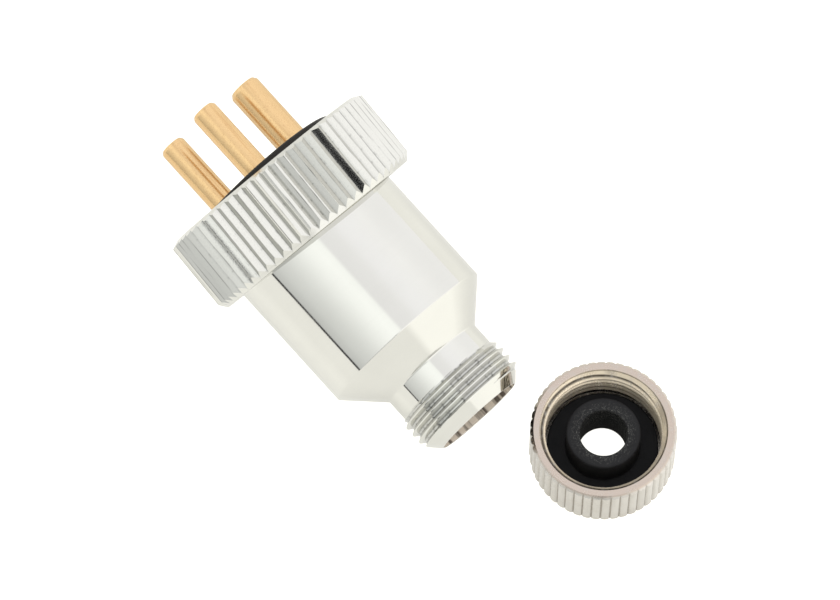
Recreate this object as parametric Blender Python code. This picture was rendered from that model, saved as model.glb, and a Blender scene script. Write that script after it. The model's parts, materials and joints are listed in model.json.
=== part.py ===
"""A round three-pin cable plug with a loose coupling ring, and its gland nut lying beside it.

The plug lies on the floor on its ring and the edge of its shoulder. Plug parts are drawn along the plug's
own axis: their Z runs from the open end of the neck (0) towards the pins, and their -X is the upper side.
World +X points the way the pins do, and +Z is up.
"""

from math import atan, cos, pi, radians, sin, tau

import bpy
from mathutils import Vector

MM = 0.001
GAP = 0.3 * MM

# Thread of the neck and the gland nut, M20 x 1.5.
THREAD_R = 10.0 * MM
THREAD_PITCH = 1.5 * MM
THREAD_DEPTH = 0.8 * MM
THREAD_RUNOUT = 0.1 * MM
CRESTS = 4

# Shell, as stations along its axis.
BORE_R = 7.5 * MM
LIP_R = 7.75 * MM
FIRST_CREST_Z = 2.4 * MM
NECK_R = 9.13 * MM
SHOULDER_Z = 11.15 * MM
SHELL_Z = 16.9 * MM
SHELL_R = 14.9 * MM
SHELL_FRONT_Z = 45.3 * MM
SHELL_BORE_R = 13.4 * MM
INNER_CONE = (13.0 * MM, 19.5 * MM)

# Coupling ring, along its own axis from its back face.
RING_R = 19.4 * MM
RING_LENGTH = 13.4 * MM
RING_BACK_Z = 38.75 * MM
RING_TEETH = 64
TOOTH_DEPTH = 0.75 * MM
RING_LIP = 1.8 * MM
RING_LIP_R = 15.8 * MM
RING_BORE_R = 17.5 * MM
RING_RELIEF_R = 17.9 * MM
RING_BACK_EDGE = (0.95 * MM, 1.3 * MM)
RING_FRONT_EDGE = (1.4 * MM, 0.7 * MM)
RING_MOUTH = 0.3 * MM
RING_CRESTS = 2
RING_SAG = radians(6.7)
RING_SWING = radians(1.3)
RING_SHIFT = 0.45 * MM

# What holds the ring on the shell.
CLIP_Z = 43.6 * MM
CLIP_THICKNESS = 0.8 * MM
CLIP_R = 15.6 * MM
CLIP_SEAT_R = 14.1 * MM
CLIP_SLACK = 0.1 * MM
CLIP_MOUTH = radians(22)
WASHER_THICKNESS = 0.5 * MM
WASHER_R = 16.4 * MM
WASHER_HOLE_R = 15.1 * MM

# Insert and its contacts.
NOSE_R = 14.4 * MM
NOSE_FRONT_Z = 51.6 * MM
NOSE_EDGE = 0.3 * MM
SHANK_R = SHELL_BORE_R - GAP
SHANK_BACK_Z = 38.6 * MM
BLOCK_R = 11.8 * MM
BLOCK_Z = (24.5 * MM, 37.2 * MM)
BLOCK_EDGE = 0.4 * MM
SEAL_Z = 42.0 * MM
SEAL_WIRE_R = 0.7 * MM
SEAL_SIDES = 8
GASKET_THICKNESS = 1.4 * MM
LINER_R = BLOCK_R + 0.6 * MM
LINER_BACK_Z = 20.5 * MM
PIN_CIRCLE_R = 8.5 * MM
PIN_R = 2.2 * MM
EARTH_PIN_R = 2.7 * MM
TIP_Z = (65.8 * MM, 64.75 * MM, 65.1 * MM)
TIP_CURVE = ((1, 0.35), (0.88, 0.12), (0.6, 0))
TOP_PIN_ANGLE = radians(13.6)
COLLAR_Z = (38.9 * MM, 39.8 * MM)
COLLAR_STEP = 0.6 * MM
BARREL_Z = 25.5 * MM
BARREL_R = 2.6 * MM
EARTH_BARREL_R = 3.0 * MM
BARREL_EDGE = 0.2 * MM
WIRE_BORE_R = 1.5 * MM
WIRE_BORE_DEPTH = 7.0 * MM

# Screws and the earth tag.
CLAMP_Z = 28.6 * MM
CLAMP_R = 1.2 * MM
CLAMP_EDGE = 0.15 * MM
CLAMP_SLOT = (1.2 * MM, 0.5 * MM, 4 * MM)
CLAMP_INNER_R = 8.3 * MM
CLAMP_SLOT_R = 11.6 * MM
SCREW_R = 1.5 * MM
SCREW_END_Z = 44.1 * MM
SCREW_HEAD_R = 2.7 * MM
SCREW_HEAD_EDGE = 0.4 * MM
SCREW_HEAD_HEIGHT = 1.8 * MM
SCREW_SLOT = (0.6 * MM, 8 * MM, 1.6 * MM)
TAG_R = 4.4 * MM
TAG_Z = BLOCK_Z[1] + 0.4 * MM
TAG_THICKNESS = 0.5 * MM
TONGUE = (3.0 * MM, 3.2 * MM)
TONGUE_R = SHANK_R - 1.6 * MM

# Gland nut, upright on the floor beside the neck.
NUT_AHEAD = 14.7 * MM
NUT_ASIDE = 13.3 * MM
NUT_R = 11.7 * MM
NUT_RIM_R = 11.2 * MM
NUT_HEIGHT = 10.2 * MM
NUT_RIM_EDGE = 0.45 * MM
NUT_FOOT_EDGE = (0.3 * MM, 0.5 * MM)
NUT_FLUTES = 48
FLUTE_DEPTH = 0.45 * MM
NUT_FLOOR = 1.1 * MM
NUT_FLOOR_HOLE_R = 5.3 * MM
NUT_MINOR_R = 9.25 * MM
NUT_MOUTH_R = 10.15 * MM
NUT_MOUTH_DEPTH = 0.4 * MM
NUT_FIRST_CREST = 1.1 * MM
NUT_CRESTS = 4
GROMMET_TOP = 8.75 * MM
GROMMET_TUBE_R = 5.9 * MM
GROMMET_HOLE_R = 3.8 * MM
GROMMET_FLANGE = (1.95 * MM, 3.0 * MM)
GROMMET_FLANGE_R = 8.9 * MM
GROMMET_SPIGOT_R = 4.9 * MM
GROMMET_EDGE = 0.2 * MM
GLAND_WASHER_Z = (1.35 * MM, 1.65 * MM)

ROUND = 48
MIDDLE_ROUND = 32
SMALL_ROUND = 16


def clear_scene():
    for obj in list(bpy.data.objects):
        bpy.data.objects.remove(obj)


def material(name, color, roughness, metallic):
    made = bpy.data.materials.new(name)
    made.use_nodes = True
    shader = made.node_tree.nodes["Principled BSDF"]
    shader.inputs["Base Color"].default_value = (*color, 1)
    shader.inputs["Roughness"].default_value = roughness
    shader.inputs["Metallic"].default_value = metallic
    return made


def axis_empty(name, location, rotation=(0, 0, 0), parent=None):
    empty = bpy.data.objects.new(name, None)
    empty.location = location
    empty.rotation_euler = rotation
    empty.parent = parent
    bpy.context.collection.objects.link(empty)
    return empty


def add_object(name, verts, faces, parent, finish=None, place=(0, 0, 0), turn=(0, 0, 0)):
    mesh = bpy.data.meshes.new(name)
    mesh.from_pydata(verts, [], faces)
    mesh.shade_smooth()
    mesh.set_sharp_from_angle(angle=radians(28))
    obj = bpy.data.objects.new(name, mesh)
    obj.location = place
    obj.rotation_euler = turn
    obj.parent = parent
    if finish:
        mesh.materials.append(finish)
    bpy.context.collection.objects.link(obj)
    return obj


def turned(name, outline, parent, finish=None, segments=ROUND, dents=(0,), place=(0, 0, 0), turn=(0, 0, 0)):
    """A closed outline of (radius, z) turned round Z, counter-clockwise with the radius to the right.

    A third value on a point marks it as toothed: its radius drops by that depth times each of dents in turn.
    """
    verts = []
    rings = []
    for point in outline:
        radius, z = point[:2]
        depth = point[2] if len(point) > 2 else 0
        if radius == 0:
            rings.append([len(verts)] * segments)
            verts.append((0, 0, z))
            continue
        rings.append(list(range(len(verts), len(verts) + segments)))
        for i in range(segments):
            r = radius - depth * dents[i % len(dents)]
            angle = tau * i / segments
            verts.append((r * cos(angle), r * sin(angle), z))
    faces = []
    for low, high in zip(rings, rings[1:] + rings[:1]):
        for i in range(segments):
            j = (i + 1) % segments
            corners = list(dict.fromkeys((low[i], low[j], high[j], high[i])))
            if len(corners) > 2:
                faces.append(corners)
    return add_object(name, verts, faces, parent, finish, place, turn)


def rod_outline(radius, bottom, top, edge=0):
    if edge == 0:
        return [(0, bottom), (radius, bottom), (radius, top), (0, top)]
    return [(0, bottom), (radius - edge, bottom), (radius, bottom + edge), (radius, top - edge),
            (radius - edge, top), (0, top)]


def tube_outline(inner, outer, bottom, top):
    return [(inner, bottom), (outer, bottom), (outer, top), (inner, top)]


def box(name, size, parent, place, turn=(0, 0, 0)):
    x, y, z = (side / 2 for side in size)
    verts = [(i, j, k) for i in (-x, x) for j in (-y, y) for k in (-z, z)]
    faces = [(0, 1, 3, 2), (4, 6, 7, 5), (0, 4, 5, 1), (2, 3, 7, 6), (0, 2, 6, 4), (1, 5, 7, 3)]
    return add_object(name, verts, faces, parent, None, place, turn)


def combine(obj, other, operation="DIFFERENCE"):
    other.hide_render = True
    other.display_type = "WIRE"
    modifier = obj.modifiers.new(other.name, "BOOLEAN")
    modifier.operation = operation
    modifier.object = other


def around(angle, radius, z=0):
    """A point at this angle from the plug's upper side, turning towards world +Y."""
    return (-radius * cos(angle), radius * sin(angle), z)


def thread_points(radius, depth, first, crests, outward):
    """Crests and roots up a thread, as (radius, z), outside on a spigot or inside in a nut."""
    high, low = (radius, radius - depth) if outward else (radius - depth, radius)
    points = []
    for i in range(crests):
        crest = first + i * THREAD_PITCH
        points.append((high, crest))
        points.append((low, crest + THREAD_PITCH / 2))
    return points


def build_shell(plug, chrome):
    last_root = FIRST_CREST_Z + (CRESTS - 0.5) * THREAD_PITCH
    groove_low = CLIP_Z - GAP
    groove_high = CLIP_Z + CLIP_THICKNESS + GAP
    groove_r = CLIP_SEAT_R - CLIP_SLACK
    outline = [(BORE_R, 0), (LIP_R, 0)]
    outline += thread_points(THREAD_R, THREAD_DEPTH, FIRST_CREST_Z, CRESTS, outward=True)
    outline += [
        (NECK_R, last_root + THREAD_RUNOUT),
        (NECK_R, SHOULDER_Z),
        (SHELL_R, SHELL_Z),
        (SHELL_R, groove_low),
        (groove_r, groove_low),
        (groove_r, groove_high),
        (SHELL_R, groove_high),
        (SHELL_R, SHELL_FRONT_Z),
        (SHELL_BORE_R, SHELL_FRONT_Z),
        (SHELL_BORE_R, INNER_CONE[1]),
        (BORE_R, INNER_CONE[0]),
    ]
    turned("shell", outline, plug, chrome)


def build_coupling_ring(ring, chrome):
    """Drawn round its own axis, because it hangs loose on the shell."""
    mouth = RING_LENGTH - RING_MOUTH
    back_inset, back_rise = RING_BACK_EDGE
    front_inset, front_drop = RING_FRONT_EDGE
    outline = [
        (RING_LIP_R, 0),
        (RING_R - back_inset, 0),
        (RING_R, back_rise, TOOTH_DEPTH),
        (RING_R, RING_LENGTH - front_drop, TOOTH_DEPTH),
        (RING_R - front_inset, RING_LENGTH),
        (RING_BORE_R + RING_MOUTH, RING_LENGTH),
        (RING_BORE_R, mouth),
    ]
    for i in range(1, RING_CRESTS + 1):
        crest = mouth - i * THREAD_PITCH
        outline += [(RING_RELIEF_R, crest + THREAD_PITCH / 2), (RING_BORE_R, crest)]
    outline += [(RING_RELIEF_R, RING_LIP + THREAD_PITCH), (RING_RELIEF_R, RING_LIP), (RING_LIP_R, RING_LIP)]
    turned("coupling_ring", outline, ring, chrome, segments=2 * RING_TEETH, dents=(0, 1))


def build_ring_retainers(plug, steel, brass):
    washer_top = CLIP_Z - GAP
    outline = tube_outline(WASHER_HOLE_R, WASHER_R, washer_top - WASHER_THICKNESS, washer_top)
    turned("slip_washer", outline, plug, brass)
    top = CLIP_Z + CLIP_THICKNESS
    steps = ROUND
    verts = []
    section = tube_outline(CLIP_SEAT_R + GAP - CLIP_SLACK, CLIP_R, CLIP_Z, top)
    for i in range(steps + 1):
        angle = CLIP_MOUTH / 2 + (tau - CLIP_MOUTH) * i / steps
        for radius, z in section:
            verts.append((radius * cos(angle), radius * sin(angle), z))
    faces = [(0, 1, 2, 3), tuple(4 * steps + i for i in (3, 2, 1, 0))]
    for i in range(steps):
        for j in range(4):
            k = (j + 1) % 4
            faces.append((4 * i + k, 4 * i + j, 4 * i + 4 + j, 4 * i + 4 + k))
    add_object("retaining_clip", verts, faces, plug, steel)


def seal_outline():
    centre = SHANK_R - GAP / 2 - SEAL_WIRE_R
    points = []
    for i in range(SEAL_SIDES):
        angle = tau * i / SEAL_SIDES
        points.append((centre + SEAL_WIRE_R * cos(angle), SEAL_Z + SEAL_WIRE_R * sin(angle)))
    return points


def contact_places():
    """Name, shaft radius, barrel radius, tip height and angle of each contact."""
    third = tau / 3
    return [
        ("contact_pin_1", PIN_R, BARREL_R, TIP_Z[0], TOP_PIN_ANGLE + third),
        ("contact_pin_2", PIN_R, BARREL_R, TIP_Z[1], TOP_PIN_ANGLE),
        ("earth_pin", EARTH_PIN_R, EARTH_BARREL_R, TIP_Z[2], TOP_PIN_ANGLE - third),
    ]


def build_insulators(plug, black):
    groove_r = SHANK_R - 2 * SEAL_WIRE_R - GAP
    groove = (SEAL_Z - SEAL_WIRE_R - GAP, SEAL_Z + SEAL_WIRE_R + GAP)
    nose_back = SHELL_FRONT_Z + GAP
    front = turned("front_insulator", [
        (0, SHANK_BACK_Z),
        (SHANK_R, SHANK_BACK_Z),
        (SHANK_R, groove[0]),
        (groove_r, groove[0]),
        (groove_r, groove[1]),
        (SHANK_R, groove[1]),
        (SHANK_R, nose_back),
        (NOSE_R, nose_back),
        (NOSE_R, NOSE_FRONT_Z - NOSE_EDGE),
        (NOSE_R - NOSE_EDGE, NOSE_FRONT_Z),
        (0, NOSE_FRONT_Z),
    ], plug, black)
    block = rod_outline(BLOCK_R, *BLOCK_Z, edge=BLOCK_EDGE)
    rear = turned("rear_insulator", block, plug, black, segments=MIDDLE_ROUND)
    for name, shaft, barrel, _, angle in contact_places():
        place = around(angle, PIN_CIRCLE_R)
        recess_r = barrel + COLLAR_STEP + GAP
        hole = turned("cut_hole_" + name, [
            (0, SHANK_BACK_Z - MM),
            (recess_r, SHANK_BACK_Z - MM),
            (recess_r, COLLAR_Z[1] + GAP),
            (shaft + GAP, COLLAR_Z[1] + GAP),
            (shaft + GAP, NOSE_FRONT_Z + MM),
            (0, NOSE_FRONT_Z + MM),
        ], plug, segments=SMALL_ROUND, place=place)
        combine(front, hole)
        seat = rod_outline(barrel + GAP, BLOCK_Z[0] - MM, BLOCK_Z[1] + MM)
        combine(rear, turned("cut_seat_" + name, seat, plug, segments=SMALL_ROUND, place=place))
        well = rod_outline(CLAMP_R + GAP, 0, BLOCK_R)
        combine(rear, turned("cut_well_" + name, well, plug, segments=SMALL_ROUND,
                             place=around(angle, PIN_CIRCLE_R, CLAMP_Z), turn=(0, -pi / 2, -angle)))
    below = BLOCK_Z[0] - MM
    seat_z = BLOCK_Z[0] + SCREW_HEAD_HEIGHT + 2 * GAP
    head_r = SCREW_HEAD_R + GAP
    shaft_r = SCREW_R + GAP
    end_z = SCREW_END_Z + GAP
    screw_hole = [(0, below), (head_r, below), (head_r, seat_z)]
    screw_hole += [(shaft_r, seat_z), (shaft_r, end_z), (0, end_z)]
    for half in (front, rear):
        cutter = turned("cut_screw_" + half.name, screw_hole, plug, segments=SMALL_ROUND)
        combine(half, cutter)


def build_contacts(plug, brass):
    for name, shaft, barrel, tip, angle in contact_places():
        bore_end = BARREL_Z + WIRE_BORE_DEPTH
        outline = [
            (WIRE_BORE_R, BARREL_Z),
            (barrel - BARREL_EDGE, BARREL_Z),
            (barrel, BARREL_Z + BARREL_EDGE),
            (barrel, COLLAR_Z[0]),
            (barrel + COLLAR_STEP, COLLAR_Z[0]),
            (barrel + COLLAR_STEP, COLLAR_Z[1]),
            (shaft, COLLAR_Z[1]),
        ]
        outline += [(width * shaft, tip - drop * shaft) for width, drop in TIP_CURVE]
        outline += [(0, tip), (0, bore_end), (WIRE_BORE_R, bore_end)]
        pin = turned(name, outline, plug, brass, segments=SMALL_ROUND, place=around(angle, PIN_CIRCLE_R))
        clamp_hole = rod_outline(CLAMP_R + GAP, 0, 2 * barrel)
        cutter = turned("cut_clamp_" + name, clamp_hole, plug, segments=SMALL_ROUND,
                        place=around(angle, PIN_CIRCLE_R, CLAMP_Z), turn=(0, -pi / 2, -angle))
        combine(pin, cutter)


def build_screws(plug, steel):
    """Slotted clamp screws that run inwards to the wire bores, and the centre screw from behind."""
    clamp = rod_outline(CLAMP_R, 0, BLOCK_R - PIN_CIRCLE_R, edge=CLAMP_EDGE)
    for i, (_, _, _, _, angle) in enumerate(contact_places(), start=1):
        place = around(angle, CLAMP_INNER_R, CLAMP_Z)
        screw = turned(f"terminal_screw_{i}", clamp, plug, steel, segments=SMALL_ROUND, place=place,
                       turn=(0, -pi / 2, -angle))
        slot_place = around(angle, CLAMP_SLOT_R, CLAMP_Z)
        combine(screw, box(f"cut_slot_{i}", CLAMP_SLOT, plug, slot_place, turn=(0, 0, -angle)))
    back = BLOCK_Z[0] + GAP
    head_top = back + SCREW_HEAD_HEIGHT
    block_screw = turned("block_screw", [
        (0, back),
        (SCREW_HEAD_R - SCREW_HEAD_EDGE, back),
        (SCREW_HEAD_R, back + SCREW_HEAD_EDGE),
        (SCREW_HEAD_R, head_top),
        (SCREW_R, head_top),
        (SCREW_R, SCREW_END_Z),
        (0, SCREW_END_Z),
    ], plug, steel, segments=SMALL_ROUND)
    combine(block_screw, box("cut_slot_block", SCREW_SLOT, plug, (0, 0, back)))


def build_earth_spring(plug, brass):
    """A flat tag round the earth terminal, with a tongue that reaches for the wall of the shell."""
    angle = contact_places()[2][4]
    place = around(angle, PIN_CIRCLE_R)
    disc = rod_outline(TAG_R, TAG_Z, TAG_Z + TAG_THICKNESS)
    tag = turned("earth_spring", disc, plug, brass, segments=SMALL_ROUND, place=place)
    tongue = box("join_tongue", (*TONGUE, TAG_THICKNESS), plug,
                 around(angle, TONGUE_R, TAG_Z + TAG_THICKNESS / 2), turn=(0, 0, -angle))
    combine(tag, tongue, "UNION")
    hole = rod_outline(EARTH_BARREL_R + GAP, TAG_Z - MM, TAG_Z + 2 * MM)
    combine(tag, turned("cut_tag", hole, plug, segments=SMALL_ROUND, place=place))


def build_linings(plug, rubber, fibre):
    turned("insert_seal", seal_outline(), plug, rubber, segments=MIDDLE_ROUND)
    bottom = SHELL_FRONT_Z + GAP
    outline = tube_outline(NOSE_R + GAP, CLIP_R, bottom, bottom + GASKET_THICKNESS)
    turned("face_gasket", outline, plug, rubber, segments=MIDDLE_ROUND)
    outline = tube_outline(LINER_R, SHELL_BORE_R - GAP, LINER_BACK_Z, BLOCK_Z[1])
    turned("insulating_liner", outline, plug, fibre, segments=MIDDLE_ROUND)


def build_gland_nut(nut, nickel):
    inset, rise = NUT_FOOT_EDGE
    top = NUT_HEIGHT
    outline = [
        (NUT_FLOOR_HOLE_R, 0),
        (NUT_R - FLUTE_DEPTH - inset, 0),
        (NUT_R, rise, FLUTE_DEPTH),
        (NUT_R, top - NUT_RIM_EDGE, FLUTE_DEPTH),
        (NUT_RIM_R, top),
        (NUT_MOUTH_R, top),
        (NUT_MOUTH_R, top - NUT_MOUTH_DEPTH),
    ]
    crest = top - NUT_FIRST_CREST
    for i in range(NUT_CRESTS):
        outline.append((NUT_MINOR_R, crest - i * THREAD_PITCH))
        outline.append((THREAD_R, crest - (i + 0.5) * THREAD_PITCH))
    outline += [
        (NUT_MINOR_R, crest - NUT_CRESTS * THREAD_PITCH),
        (NUT_MINOR_R, NUT_FLOOR),
        (NUT_FLOOR_HOLE_R, NUT_FLOOR),
    ]
    turned("gland_nut", outline, nut, nickel, segments=2 * NUT_FLUTES, dents=(0, 1))


def build_grommet(nut, rubber, steel):
    low, high = GROMMET_FLANGE
    turned("cord_grommet", [
        (GROMMET_HOLE_R, GAP),
        (GROMMET_SPIGOT_R, GAP),
        (GROMMET_SPIGOT_R, low),
        (GROMMET_FLANGE_R, low),
        (GROMMET_FLANGE_R, high),
        (GROMMET_TUBE_R, high),
        (GROMMET_TUBE_R, GROMMET_TOP - GROMMET_EDGE),
        (GROMMET_TUBE_R - GROMMET_EDGE, GROMMET_TOP),
        (GROMMET_HOLE_R, GROMMET_TOP),
    ], nut, rubber, segments=MIDDLE_ROUND)
    outline = tube_outline(GROMMET_SPIGOT_R + GAP, GROMMET_FLANGE_R, *GLAND_WASHER_Z)
    turned("gland_washer", outline, nut, steel, segments=MIDDLE_ROUND)


def resting_tilt():
    """The angle at which the plug meets the floor at the edge of its shoulder and at the back of the ring."""
    span = RING_BACK_Z + RING_BACK_EDGE[1] - SHELL_Z + RING_R * sin(RING_SAG)
    rise = RING_R * cos(RING_SAG) - SHELL_R
    return atan(rise / span)


def lowest_and_highest(objects):
    graph = bpy.context.evaluated_depsgraph_get()
    corners = []
    for obj in objects:
        mesh = obj.evaluated_get(graph).to_mesh()
        corners += [obj.matrix_world @ vertex.co for vertex in mesh.vertices]
        obj.evaluated_get(graph).to_mesh_clear()
    low = Vector([min(corner[i] for corner in corners) for i in range(3)])
    high = Vector([max(corner[i] for corner in corners) for i in range(3)])
    return low, high


def centre_on_floor(empties):
    """Moves everything so that the origin is under the middle of the whole, at its lowest point."""
    bpy.context.view_layer.update()
    parts = [obj for obj in bpy.data.objects if obj.type == "MESH" and not obj.hide_render]
    low, high = lowest_and_highest(parts)
    for empty in empties:
        empty.location.x -= (low.x + high.x) / 2
        empty.location.y -= (low.y + high.y) / 2
        empty.location.z -= low.z


def build():
    clear_scene()
    chrome = material("chrome", (0.82, 0.82, 0.80), 0.12, 1.0)
    nickel = material("nickel", (0.80, 0.74, 0.68), 0.18, 1.0)
    brass = material("brass", (0.85, 0.62, 0.30), 0.28, 1.0)
    steel = material("steel", (0.62, 0.62, 0.60), 0.30, 1.0)
    black = material("black_insulator", (0.02, 0.02, 0.02), 0.45, 0.0)
    rubber = material("rubber", (0.03, 0.03, 0.03), 0.65, 0.0)
    fibre = material("fibre", (0.45, 0.38, 0.26), 0.70, 0.0)

    tilt = resting_tilt()
    neck_height = SHELL_R * cos(tilt) - SHELL_Z * sin(tilt)
    plug = axis_empty("plug_axis", (0, 0, neck_height), (0, pi / 2 - tilt, 0))
    pivot = RING_BACK_Z + RING_LIP / 2
    hang = axis_empty("ring_axis", (0, -RING_SHIFT, pivot), (RING_SWING, -RING_SAG, 0), plug)
    ring = axis_empty("ring_back", (0, 0, -RING_LIP / 2), parent=hang)
    nut = axis_empty("nut_axis", (-NUT_AHEAD, -NUT_ASIDE, 0))

    build_shell(plug, chrome)
    build_coupling_ring(ring, chrome)
    build_ring_retainers(plug, steel, brass)
    build_insulators(plug, black)
    build_contacts(plug, brass)
    build_screws(plug, steel)
    build_earth_spring(plug, brass)
    build_linings(plug, rubber, fibre)
    build_gland_nut(nut, nickel)
    build_grommet(nut, rubber, steel)
    centre_on_floor([plug, nut])


build()
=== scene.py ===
"""The looks of the cable plug and its gland nut: turned metal, threads, knurls, rubber, and the studio.

Each piece is drawn along its own axis, in metres. The plug's parts have z growing from the open end of the
neck towards the pins, the ring's from its back face and the nut's from the floor. Angles start at the upper
side and grow the way a right-handed thread climbs.
"""

import json
from math import ceil, cos, pi, radians, sin, tan, tau

import bmesh
import bpy
from mathutils import Matrix, Vector


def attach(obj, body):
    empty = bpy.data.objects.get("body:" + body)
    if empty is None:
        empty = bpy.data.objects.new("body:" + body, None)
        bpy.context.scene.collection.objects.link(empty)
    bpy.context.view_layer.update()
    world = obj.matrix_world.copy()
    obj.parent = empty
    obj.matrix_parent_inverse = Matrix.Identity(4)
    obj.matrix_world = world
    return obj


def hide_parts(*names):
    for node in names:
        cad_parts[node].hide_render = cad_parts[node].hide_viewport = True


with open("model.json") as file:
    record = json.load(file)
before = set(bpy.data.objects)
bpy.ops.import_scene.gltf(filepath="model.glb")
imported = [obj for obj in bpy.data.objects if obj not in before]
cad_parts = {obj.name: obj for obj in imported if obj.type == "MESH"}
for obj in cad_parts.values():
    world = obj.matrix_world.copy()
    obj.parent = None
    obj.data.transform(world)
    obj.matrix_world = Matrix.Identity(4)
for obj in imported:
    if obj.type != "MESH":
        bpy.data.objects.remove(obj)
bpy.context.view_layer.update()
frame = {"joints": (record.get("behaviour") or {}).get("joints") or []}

MM = 0.001
GAP = 0.3 * MM
WELD = 0.0005 * MM
JOINTS = {joint["name"]: joint for joint in frame["joints"]}
COLUMNS = 288
MIDDLE_COLUMNS = 192
SMALL_COLUMNS = 96
HOLE_COLUMNS = 64
GROOVE_SHADE = 0.35

# Threads, M20 x 1.5 on the neck and the nut.
PITCH = 1.5 * MM
THREAD_R = 10.0 * MM
THREAD_ROOT_R = 9.2 * MM
THREAD_STEPS = 16
THREAD_START = 0.586 * MM

# Shell. Its bore is bare metal from BARE_Z inwards.
BORE_R = 7.5 * MM
LIP_R = 7.75 * MM
NECK_R = 9.13 * MM
END_CONE_Z = 2.4 * MM
RUNOUT_Z = 6.6 * MM
THREAD_TOP_Z = 8.0 * MM
SHOULDER_Z = 11.15 * MM
SHELL_Z = 16.9 * MM
SHELL_R = 14.9 * MM
SHELL_FRONT_Z = 45.3 * MM
SHELL_BORE_R = 13.4 * MM
INNER_CONE = (13.0 * MM, 19.5 * MM)
BARE_Z = 0.15 * MM

# Coupling ring.
RING_R = 19.4 * MM
RING_LENGTH = 13.4 * MM
RING_TEETH = 64
TOOTH_DEPTH = 0.7 * MM
TOOTH_PROFILE = (0, 1 / 3, 2 / 3, 1, 2 / 3, 1 / 3)
RING_LIP = 1.8 * MM
RING_LIP_R = 15.5 * MM
RING_BORE_R = 17.5 * MM
RING_RELIEF_R = 17.9 * MM
RING_BACK_EDGE = (0.95 * MM, 1.3 * MM)
RING_FRONT_EDGE = (1.4 * MM, 0.7 * MM)
RING_MOUTH = 0.3 * MM
RING_THREAD_LENGTH = 4.4 * MM
RING_PHASE = radians(-14.2)

# What holds the ring on the shell.
CLIP_Z = 43.6 * MM
CLIP_THICKNESS = 0.8 * MM
CLIP_R = 15.6 * MM
CLIP_SEAT_R = 14.1 * MM
CLIP_MOUTH = radians(22)
WASHER_THICKNESS = 0.5 * MM
WASHER_R = 16.4 * MM
WASHER_HOLE_R = 15.1 * MM

# Insert and its contacts, which have a shaft radius, a barrel radius, a tip and an angle.
NOSE_R = 14.4 * MM
NOSE_FRONT_Z = 51.6 * MM
SHANK_R = SHELL_BORE_R - GAP
SHANK_BACK_Z = 38.6 * MM
BLOCK_R = 11.8 * MM
BLOCK_Z = (24.5 * MM, 37.2 * MM)
SEAL_Z = 42.0 * MM
SEAL_WIRE_R = 0.7 * MM
SEAL_SIDES = 24
GASKET_THICKNESS = 1.4 * MM
LINER_R = BLOCK_R + 0.6 * MM
LINER_BACK_Z = 20.5 * MM
PIN_CIRCLE_R = 8.5 * MM
TOP_PIN_ANGLE = radians(-13.6)
CONTACTS = {
    "contact_pin_1": (2.2 * MM, 2.6 * MM, 65.8 * MM, TOP_PIN_ANGLE - tau / 3),
    "contact_pin_2": (2.2 * MM, 2.6 * MM, 64.75 * MM, TOP_PIN_ANGLE),
    "earth_pin": (2.7 * MM, 3.0 * MM, 65.1 * MM, TOP_PIN_ANGLE + tau / 3),
}
PIN_TAPER = (0.82, 0.26)
COLLAR_Z = (38.9 * MM, 39.8 * MM)
COLLAR_STEP = 0.6 * MM
BARREL_Z = 25.5 * MM
WIRE_BORE_R = 1.5 * MM
WIRE_BORE_DEPTH = 7.0 * MM

# Screws and the earth tag.
CLAMP_Z = 28.6 * MM
CLAMP_R = 1.2 * MM
CLAMP_INNER_R = 8.3 * MM
CLAMP_LENGTH = BLOCK_R - PIN_CIRCLE_R
CLAMP_SLOT = (0.5 * MM, 4 * MM, 0.7 * MM)
SCREW_R = 1.5 * MM
SCREW_END_Z = 44.1 * MM
SCREW_HEAD_R = 2.7 * MM
SCREW_HEAD_HEIGHT = 1.8 * MM
SCREW_SLOT = (0.6 * MM, 8 * MM, 0.8 * MM)
TAG_R = 4.4 * MM
TAG_Z = BLOCK_Z[1] + 0.4 * MM
TAG_THICKNESS = 0.5 * MM
TONGUE = (3.0 * MM, 3.2 * MM)
TONGUE_R = SHANK_R - 1.6 * MM

# Gland nut and grommet.
NUT_R = 11.7 * MM
NUT_RIM_R = 11.2 * MM
NUT_HEIGHT = 10.2 * MM
NUT_RIM_EDGE = 0.45 * MM
NUT_FOOT_EDGE = (0.3 * MM, 0.5 * MM)
NUT_REEDS = 48
REED_COLUMNS = 10
REED_DEPTH = 0.34 * MM
NUT_FLOOR = 1.1 * MM
NUT_HOLE_R = 5.3 * MM
NUT_MINOR_R = 9.25 * MM
NUT_MOUTH_R = 10.15 * MM
NUT_MOUTH_DEPTH = 0.4 * MM
NUT_FIRST_CREST_Z = 9.1 * MM
NUT_THREAD_END_Z = 2.6 * MM
GROMMET_TOP = 8.75 * MM
GROMMET_TUBE_R = 5.9 * MM
GROMMET_HOLE_R = 3.8 * MM
GROMMET_FLANGE = (1.95 * MM, 3.0 * MM)
GROMMET_FLANGE_R = 8.9 * MM
GROMMET_SPIGOT_R = 4.9 * MM
GROMMET_WORN_EDGE = (0.35 * MM, 0.5 * MM)
GLAND_WASHER_Z = (1.35 * MM, 1.65 * MM)

# Camera.
CAMERA_TURN = radians(133.356)
CAMERA_RISE = radians(68.878)
CAMERA_ROLL = radians(0.568)
CAMERA_AIM = Vector((4.28 * MM, -6.544 * MM, 0))
CAMERA_DISTANCE = 1.0991
LENS = 292.03

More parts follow.
